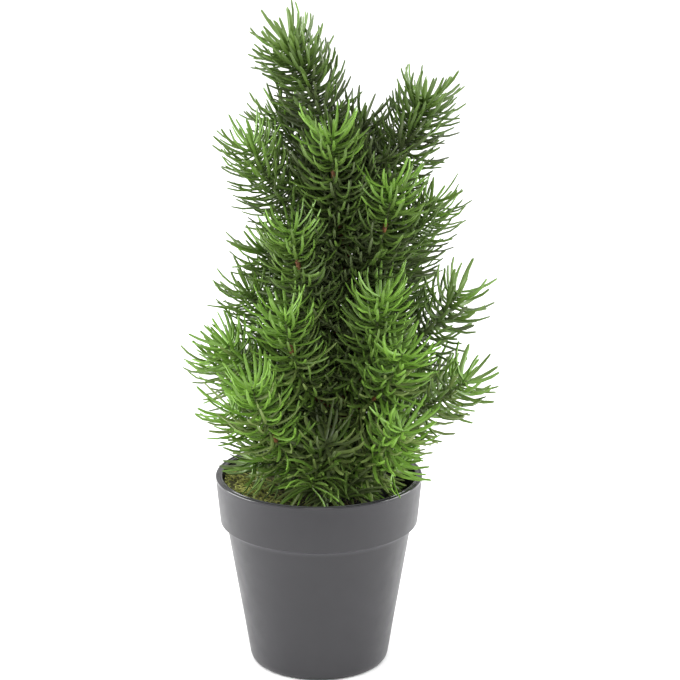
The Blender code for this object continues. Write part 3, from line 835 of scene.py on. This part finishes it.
class Branch:
    """A branch's line, where its twig starts, and the needles it has grown.

    A needle is its centre line, the direction of its width, its freshness with painted light, and
    if it has faded.
    """

    def __init__(self, number, sprig, trunk, pitch):
        self.number = number
        self.sprig = sprig
        self.line = branch_line(sprig, trunk)
        self.along = lengths_along(self.line)
        self.length = self.along[-1]
        self.dice = random.Random(SEED * 1000 + number)
        self.phase = self.dice.uniform(0, math.tau)
        self.needles = []
        has_bough = sprig in SPRIGS[1:]
        self.bough_end = self.length * BARE_SHARE if has_bough else 0.0
        self.has_collar = sprig.name in COLLARED
        self.first = TWIG_ROOT_RADIUS + (0 if sprig is SPRIGS[0] else TRUNK_BASE_RADIUS)
        self.last = self.length - TIP_BACK
        self.count = int((self.last - self.first) / (pitch * sprig.space))
        self.collar = self.length - self.dice.uniform(*COLLAR_BACK)

    def frame_at(self, distance):
        """The line's point, direction and two square directions at a distance."""
        steps = (distance - MM, distance, distance + MM)
        before, place, after = (read_at(step, self.along, self.line) for step in steps)
        ahead = unit(after - before)
        side = unit(np.cross(ahead, (0.0, 0.0, 1.0)))
        return place, ahead, side, np.cross(ahead, side)

    def grow(self, index, limbs, needles):
        """Grow needle number index, turned a little if that keeps it clear, or skip it."""
        share = index / (self.count - 1)
        distance = blend(self.first, self.last, share**TIP_CROWDING)
        bare = self.has_collar and abs(distance - self.collar) < COLLAR_BARE
        spread = blend(SPREAD_BASE, SPREAD_TIP, share**LATE)
        jitter = blend(SPREAD_JITTER, TIP_JITTER, share**LATE)
        spread += self.dice.uniform(-jitter, jitter)
        length = needles.length * (1 - (1 - TIP_LENGTH_SHARE) * share**3)
        length *= 1 - self.dice.uniform(0, LENGTH_SPREAD)
        sweep = needles.sweep * blend(BASE_SWEEP_SHARE, TIP_SWEEP_SHARE, share)
        sweep *= self.dice.uniform(*SWEEP_SCATTER) * spread / SPREAD_TIP
        twist = self.dice.gauss(0, TWIST_SCATTER)
        curl = self.dice.gauss(0, CURL_SCATTER)
        lowness = min(1.0, max(0.0, (LOW_UNDER - self.sprig.root) / LOW_RANGE))
        # Painted light: low sprigs get lighter greens at their foot
        foot = FOOT_FRESH_AND_LIT + LOW_PAINTED_LIGHT * lowness
        # Painted light and shade with age: greens darken towards the sprig's foot inside the crown
        # and brighten at its tip
        fresh_and_lit = self.sprig.fresh_and_lit * blend(foot, TIP_FRESH_AND_LIT, share**2)
        fresh_and_lit += self.dice.gauss(0, FRESH_AND_LIT_SCATTER)
        olive = self.dice.random() < lowness * OLIVE_SHARE * (1 - share**2)
        if bare:
            return
        root, ahead, side, up = self.frame_at(distance)
        for turn in TURNS_TO_TRY:
            around = self.phase + index * GOLDEN_ANGLE + turn
            outward = math.cos(around) * side + math.sin(around) * up
            square = np.cross(ahead, outward)
            path = [root]
            for low, high in zip(NEEDLE_PATH, NEEDLE_PATH[1:]):
                middle = (low + high) / 2
                angle = spread - sweep * middle
                step = math.cos(angle) * ahead + math.sin(angle) * outward
                step = step + math.sin(curl * middle) * square
                step[2] += LIFT * middle
                step = unit(step)
                path.append(path[-1] + step * length * (high - low))
            path = np.array(path)
            coarse = path[[0, 3, 6]]
            radius = needles.width / 2
            fits = in_reach(path, radius) and clears_pot(path, radius)
            if fits and limbs.are_clear_of(coarse, radius, self.number):
                blade = math.cos(twist) * square + math.sin(twist) * np.cross(square, step)
                self.needles.append((path, blade, fresh_and_lit, olive))
                return


def inner_sprigs():
    """Short sprigs in painted shade that fill the crown round the trunk in a golden-angle spiral,
    darker still at the front.
    """
    for number in range(INNER_SPRIGS):
        share = number / (INNER_SPRIGS - 1)
        heading = GOLDEN_ANGLE * number % math.tau
        front = max(0.0, -math.sin(heading)) ** 3
        kept = 1 - (1 - INNER_FRONT_REACH_AND_LIGHT) * front
        yield Sprig(
            f"inner_low_{number}" if share < 0.5 else f"inner_high_{number}",
            math.degrees(heading),
            blend(*INNER_ROOT, share),
            kept * blend(*INNER_REACH, share),
            blend(*INNER_RISE, share),
            kept * blend(*INNER_FRESH_AND_LIT, share),
        )


def grown_branches(needles):
    """All branches with their needles."""
    trunk = trunk_line()
    every = (*SPRIGS, *DROOPING_SPRIGS, *inner_sprigs())
    branches = [Branch(number, sprig, trunk, needles.pitch) for number, sprig in enumerate(every)]
    lines = [(trunk, [trunk_radius(z) for z in trunk[:-1, 2]], TRUNK_OWNER)]
    for branch in branches:
        line = stretch(branch.line, TRUNK_BASE_RADIUS, branch.length, BRANCH_STEPS)
        lines.append((line, TWIG_ROOT_RADIUS, branch.number))
    limbs = Limbs(lines)
    for branch in branches:
        for index in range(branch.count):
            branch.grow(index, limbs, needles)
    return branches


# Limbs


def drawn_limb(line, radii, sides):
    """A tube of changing thickness along a line, drawn as a curve and made a mesh."""
    curve = bpy.data.curves.new("limb", "CURVE")
    curve.dimensions = "3D"
    curve.fill_mode = "FULL"
    curve.bevel_depth = MM
    curve.bevel_resolution = sides // 2 - 2
    curve.use_fill_caps = True
    spline = curve.splines.new("POLY")
    spline.points.add(len(line) - 1)
    for point, place, radius in zip(spline.points, line, radii):
        point.co = (*place, 1)
        point.radius = radius / MM
    obj = bpy.data.objects.new("limb", curve)
    bpy.context.scene.collection.objects.link(obj)
    select_only(obj)
    bpy.ops.object.convert(target="MESH")
    obj = bpy.context.object
    edit(obj)
    bpy.ops.mesh.remove_doubles(threshold=0.001 * MM)
    bpy.ops.mesh.normals_make_consistent(inside=False)
    leave_edit()
    return obj


def limb_piece(name, limbs, sides, relief, finish, slot, *nodes):
    """Limbs, each a line and its radii, as one finished piece with furrows of (depth, grain)."""
    parts = []
    for line, radii in limbs:
        parts.append(drawn_limb(line, radii, sides))
        if relief:
            furrow(parts[-1], *relief)
    select_only(parts[0])
    for part in parts:
        part.select_set(True)
    if len(parts) > 1:
        bpy.ops.object.join()
    piece = named(name)
    shade_round(piece, 60)
    finish.on(piece)
    finish_piece(piece, slot, *nodes)


def furrow(obj, depth, grain):
    """Push a limb's surface in and out along itself in long uneven furrows."""
    for vertex in obj.data.vertices:
        x, y, z = vertex.co
        fine = noise.noise(Vector((x, y, z * FINE_STRETCH)) * grain)
        coarse = noise.noise(Vector((x, y, z * COARSE_STRETCH)) * grain * COARSE_GRAIN)
        vertex.co += vertex.normal * depth * (0.6 * fine + 0.6 * coarse - FURROW_BIAS)
    obj.data.update()


# Operators


class FIR_OT_pot(bpy.types.Operator):
    """Turn the tapered pot with its wide band and rounded lip"""

    bl_idname = "fir.pot"
    bl_label = "Pot"

    def execute(self, context):
        inner = RIM_RADIUS - LIP
        groove = POT_HEIGHT - LIP_GROOVE
        profile = (
            *((FOOT_RADIUS - inward * FOOT_ROUND, up * FOOT_ROUND) for inward, up in FOOT_CURVE),
            (FOOT_TOP_RADIUS, FOOT_TOP),
            (NECK_RADIUS, NECK_HEIGHT),
            (BAND_FOOT_RADIUS, BAND_FOOT),
            (RIM_RADIUS, POT_HEIGHT),
            (RIM_RADIUS - LIP_STEP, POT_HEIGHT),
            (RIM_RADIUS - LIP_STEP - LIP_SLOPES[0], groove),
            (inner + LIP_STEP + LIP_SLOPES[1], groove),
            (inner + LIP_STEP, LIP_INSIDE),
            (inner, LIP_INSIDE),
            (inner - LIP_DRAFT, BAND_FOOT + WALL),
            (NECK_RADIUS - WALL, BAND_FOOT - WALL),
            (FOOT_RADIUS - WALL, FLOOR),
        )
        pot = turned("pot_shell", profile, POT_STEPS)
        round_ring(pot, RIM_RADIUS, POT_HEIGHT, LIP_ROUND, 4)
        round_ring(pot, inner, LIP_INSIDE, LIP_ROUND, 4)
        round_ring(pot, BAND_FOOT_RADIUS, BAND_FOOT, BAND_ROUND, 5)
        round_ring(pot, NECK_RADIUS, NECK_HEIGHT, NECK_ROUND, 6)
        shade_round(pot, 30)
        pot_finish(context.scene.fir_pot).on(pot)
        finish_piece(pot, "pot_plastic", "pot")
        return {"FINISHED"}


class FIR_OT_moss(bpy.types.Operator):
    """Lay the matted moss over the dark fill and scatter loose strands on it"""

    bl_idname = "fir.moss"
    bl_label = "Moss and fill"

    def execute(self, context):
        settings = context.scene.fir_moss
        fill_finish().on(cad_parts["fill"])
        mat = self.mat()
        mat_finish(settings).on(mat)
        finish_piece(mat, "moss", "moss")
        dice = random.Random(SEED)
        piles = {"bright": [], "olive": [], "brown": []}
        for _ in range(settings.strands):
            strand = self.strand(dice, settings)
            if strand is not None:
                path, bright = strand
                dull = "olive" if bright > OLIVE_OVER else "brown"
                tube = pointed_tube(path, settings.strand_radius, STRAND_SIDES)
                piles["bright" if bright > BRIGHT_OVER else dull].append(tube)
        for tone, pile in piles.items():
            strands = spindles("moss_strands_" + tone, pile)
            strand_finish("moss strands " + tone, tuple(getattr(settings, tone))).on(strands)
            finish_piece(strands, "moss", "moss")
        return {"FINISHED"}

    def mat(self):
        """A closed mat whose top is lumpy in fine rings."""
        profile = [(MOSS_RADIUS, MOSS_BASE), (MOSS_RADIUS, MOSS_RIM_TOP)]
        for ring in range(1, MAT_RINGS):
            profile.append((MOSS_RADIUS * (1 - ring / MAT_RINGS), MOSS_TOP))
        obj = turned("moss_mat", profile, MAT_STEPS)
        for vertex in obj.data.vertices:
            x, y, z = vertex.co
            if z > MOSS_BASE + MM:
                lump = noise.fractal(Vector((x, y, 0.0)) * 260, 0.8, 2.0, 4)
                calm = min(1.0, math.hypot(x, y) / MOSS_FLAT_RADIUS)
                vertex.co.z = moss_height(x, y) - MAT_SUNK + MAT_LUMP * lump * calm
        obj.data.update()
        shade_round(obj, 60)
        return obj

    def strand(self, dice, settings):
        """A curled strand lying on the moss, and how bright it is, or nothing off its ground."""
        angle, out = dice.uniform(0, math.tau), math.sqrt(dice.random())
        outer = MOSS_RADIUS - STRAND_INSET
        x, y = outer * out * math.cos(angle), outer * out * math.sin(angle)
        toward = (x * math.cos(MOSS_BANK_HEADING) + y * math.sin(MOSS_BANK_HEADING)) / outer
        if dice.random() > blend(BARE_GROUND, 1, min(1.0, max(0.0, 1.5 * toward))):
            return None
        heading = dice.uniform(0, math.tau)
        bend = dice.gauss(0, STRAND_BEND)
        length = settings.strand_length * dice.uniform(*STRAND_SHARES)
        lift = dice.uniform(*STRAND_LIFT) * MM
        path = []
        for step in range(STRAND_POINTS):
            if math.hypot(x, y) > outer:
                x, y = (part * outer / math.hypot(x, y) for part in (x, y))
            arch = math.sin(math.pi * step / (STRAND_POINTS - 1))
            path.append((x, y, moss_height(x, y) - STRAND_SUNK + lift * arch))
            x += math.cos(heading) * length / STRAND_POINTS
            y += math.sin(heading) * length / STRAND_POINTS
            heading += bend + dice.gauss(0, STRAND_CURL)
        return np.array(path), 1.5 * toward - 0.3 + dice.gauss(0, 0.2)


def pointed_tube(path, radius, sides):
    """The first point, rings of corners and last point of a slim tube along a path."""
    ahead = np.gradient(path, axis=0)
    ahead /= np.linalg.norm(ahead, axis=1)[:, None]
    side = np.cross(ahead, (0.0, 0.0, 1.0))
    side /= np.maximum(np.linalg.norm(side, axis=1), 1e-9)[:, None]
    up = np.cross(ahead, side)
    angles = [math.tau * corner / sides for corner in range(sides)]
    rings = [
        [path[step] + radius * (math.cos(a) * side[step] + math.sin(a) * up[step]) for a in angles]
        for step in range(1, len(path) - 1)
    ]
    return path[0], *rings, path[-1]


class FIR_OT_bark(bpy.types.Operator):
    """Grow the trunk and boughs with furrowed bark"""

    bl_idname = "fir.bark"
    bl_label = "Trunk and boughs"

    def execute(self, context):
        settings = context.scene.fir_bark
        bark = bark_finish(settings)
        rough = trunk_line()
        line = stretch(rough, 0, lengths_along(rough)[-1], TRUNK_RINGS)
        trunk = [(line, [trunk_radius(z) for z in line[:, 2]])]
        limb_piece("trunk_bark", trunk, 24, (settings.relief, 900), bark, "bark", "trunk")
        radii = np.linspace(BOUGH_ROOT_RADIUS, BOUGH_TIP_RADIUS, BOUGH_RINGS)
        boughs = []
        for sprig in SPRIGS[1:]:
            whole = branch_line(sprig, rough)
            end = lengths_along(whole)[-1] * BARE_SHARE + BOUGH_OVERLAP
            boughs.append((stretch(whole, 0, end, BOUGH_RINGS), radii))
        nodes = ("bough_" + sprig.name for sprig in SPRIGS[1:])
        limb_piece("bough_bark", boughs, 12, (settings.relief * 0.5, 1500), bark, "bark", *nodes)
        return {"FINISHED"}


class FIR_OT_foliage(bpy.types.Operator):
    """Grow the twigs and their needles from the boughs"""

    bl_idname = "fir.foliage"
    bl_label = "Twigs and needles"

    def execute(self, context):
        settings = context.scene.fir_needles
        branches = grown_branches(settings)
        tones = [
            needle_finish(name + " needles", tuple(getattr(settings, name))).material
            for name in (*TONES_BY_FRESH_AND_LIT, "olive")
        ]
        for name, starts in TIERS.items():
            members = [b for b in branches if b.sprig.name.startswith(starts)]
            piece = self.needles(name, members, settings, tones)
            nodes = ["sprig_" + b.sprig.name for b in members if b.sprig in SPRIGS]
            finish_piece(piece, "foliage", *nodes)
        self.twigs(branches, context.scene.fir_bark)
        self.collars([b for b in branches if b.has_collar], context.scene.fir_bark)
        return {"FINISHED"}

    def needles(self, name, branches, settings, tones):
        """The needles of several sprigs as one object, each needle in one of the greens, which
        paint light and shade as well as age.
        """
        shapes, shades = [], []
        for branch in branches:
            stout = 1 + STOUTNESS * abs(branch.sprig.space - 1)
            for path, across, fresh_and_lit, olive in branch.needles:
                rings = []
                for before, centre, after, share in zip(path, path[1:], path[2:], NEEDLE_WIDTHS):
                    ahead = unit(after - before)
                    wide = unit(across - ahead * across.dot(ahead))
                    deep = np.cross(ahead, wide) * settings.thickness / 2
                    wide = wide * settings.width / 2
                    share = share * stout
                    rings.append([centre + way * share for way in (wide, deep)])
                    rings[-1] += [centre - way * share for way in (wide, deep)]
                shapes.append((path[0], *rings, path[-1]))
                # Darker greens paint shade and brighter ones light, as well as age
                tone = min(len(TONES_BY_FRESH_AND_LIT) - 1, max(0, int(fresh_and_lit * len(TONES_BY_FRESH_AND_LIT))))
                if olive:
                    tone = len(tones) - 1
                shades += [tone] * NEEDLE_FACES
        obj = spindles(name, shapes, 80)
        for tone in tones:
            obj.data.materials.append(tone)
        obj.data.polygons.foreach_set("material_index", shades)
        return obj

    def twigs(self, branches, settings):
        """The slim twigs under the needles."""
        radii = np.linspace(TWIG_ROOT_RADIUS, TWIG_TIP_RADIUS, TWIG_RINGS)
        limbs = [(stretch(b.line, b.bough_end, b.last, TWIG_RINGS), radii) for b in branches]
        finish = Finish("twig plastic", tuple(settings.twig), 0.6)
        finish.relief(finish.noise(1800), 0.15 * MM)
        limb_piece("twigs", limbs, 8, (TWIG_RELIEF, 1800), finish, "foliage")

    def collars(self, branches, settings):
        """The moulded collar on each sprig, where its spray is plugged onto the twig."""
        radii = [COLLAR_RADIUS * share for share in COLLAR_RADII]
        limbs = []
        for branch in branches:
            start, end = branch.collar - COLLAR_LENGTH / 2, branch.collar + COLLAR_LENGTH / 2
            limbs.append((stretch(branch.line, start, end, len(radii)), radii))
        base = tuple(settings.collar)
        finish = Finish("collar plastic", base, 0.5)
        patches = finish.noise(900, 3.0)
        finish.set("Base Color", finish.ramp(patches, (0.35, tuned(base, 0.45)), (0.6, base)))
        finish.relief(finish.noise(1500), 0.15 * MM)
        limb_piece("collars", limbs, 12, None, finish, "bark")


class FIR_OT_stage(bpy.types.Operator):
    """Set the camera, the pale floor and the soft studio light"""

    bl_idname = "fir.stage"
    bl_label = "Stage"

    def execute(self, context):
        settings = context.scene.fir_stage
        bpy.ops.object.select_all(action="DESELECT")
        bpy.ops.mesh.primitive_plane_add(size=FLOOR_SIZE)
        floor = named("floor")
        finish = Finish("pale floor", tuple(settings.floor), 0.9)
        finish.set("Specular IOR Level", 0.0)
        finish.on(floor)
        world = bpy.data.worlds.new("studio")
        world.use_nodes = True
        self.room_light(world.node_tree, settings)
        context.scene.world = world
        tilt = math.pi / 2 - settings.tilt
        over = self.lamp("SUN", "overhead", settings.key, rotation=OVERHEAD_TURN)
        over.angle = OVERHEAD_SPREAD
        fill = self.lamp("SUN", "fill", settings.fill, rotation=(tilt - FILL_OVER, 0, 0))
        fill.angle = FILL_SPREAD
        x, y, z = SIDE_PLACE
        for name, x, share in (("left", -x, 1), ("right", x, RIGHT_SHARE)):
            aim = Vector((-x, -y, PLANT_MIDDLE - z)).to_track_quat("-Z", "Y").to_euler()
            box = self.lamp("AREA", name, settings.sides * share, location=(x, y, z), rotation=aim)
            box.size = SIDE_SIZE
        bpy.ops.object.camera_add(location=settings.place, rotation=(tilt, 0, 0))
        camera = context.object
        camera.data.lens = settings.focal_length
        context.scene.camera = camera
        context.scene.view_settings.view_transform = "Standard"
        return {"FINISHED"}

    def room_light(self, tree, settings):
        """Even white light, weaker from the front."""
        background = tree.nodes["Background"]
        feed(background, {"Color": (1, 1, 1, 1)})
        around = tree.nodes.new("ShaderNodeTexCoord").outputs["Generated"]
        depth = feed(tree.nodes.new("ShaderNodeSeparateXYZ"), {"Vector": around}).outputs["Y"]
        start, end = FRONT_RANGE
        strength = tree.nodes.new("ShaderNodeMapRange")
        feed(strength, {"Value": depth, "From Min": start, "From Max": end})
        feed(strength, {"To Min": settings.front, "To Max": settings.sky})
        feed(background, {"Strength": strength.outputs["Result"]})

    def lamp(self, kind, name, power, **place):
        """A light's data, once it is in its place."""
        bpy.ops.object.light_add(type=kind, **place)
        lamp = named(name).data
        lamp.energy = power
        return lamp


class FIR_PT_panel(bpy.types.Panel):
    """Lists the pieces of the fir"""

    bl_idname = "FIR_PT_panel"
    bl_label = "Tabletop fir"
    bl_space_type = "VIEW_3D"
    bl_region_type = "UI"
    bl_category = "Fir"

    def draw(self, context):
        for group in GROUPS:
            settings = getattr(context.scene, group)
            box = self.layout.box()
            for name in settings.__annotations__:
                box.prop(settings, name)
        for operator in OPERATORS:
            self.layout.operator(operator.bl_idname)


GROUPS = {
    "fir_pot": FirPot,
    "fir_moss": FirMoss,
    "fir_bark": FirBark,
    "fir_needles": FirNeedles,
    "fir_stage": FirStage,
}
OPERATORS = (FIR_OT_pot, FIR_OT_moss, FIR_OT_bark, FIR_OT_foliage, FIR_OT_stage)


def register():
    """Register the classes and hang the settings on the scene."""
    for made in (*GROUPS.values(), *OPERATORS, FIR_PT_panel):
        bpy.utils.register_class(made)
    for name, group in GROUPS.items():
        setattr(bpy.types.Scene, name, PointerProperty(type=group))


def unregister():
    """Take all of it away again."""
    for name in GROUPS:
        delattr(bpy.types.Scene, name)
    for made in (FIR_PT_panel, *reversed(OPERATORS), *reversed(GROUPS.values())):
        bpy.utils.unregister_class(made)


def main():
    """Build every piece and the stage."""
    register()
    bpy.ops.fir.pot()
    bpy.ops.fir.moss()
    bpy.ops.fir.bark()
    bpy.ops.fir.foliage()
    bpy.ops.fir.stage()


if __name__ == "__main__":
    main()
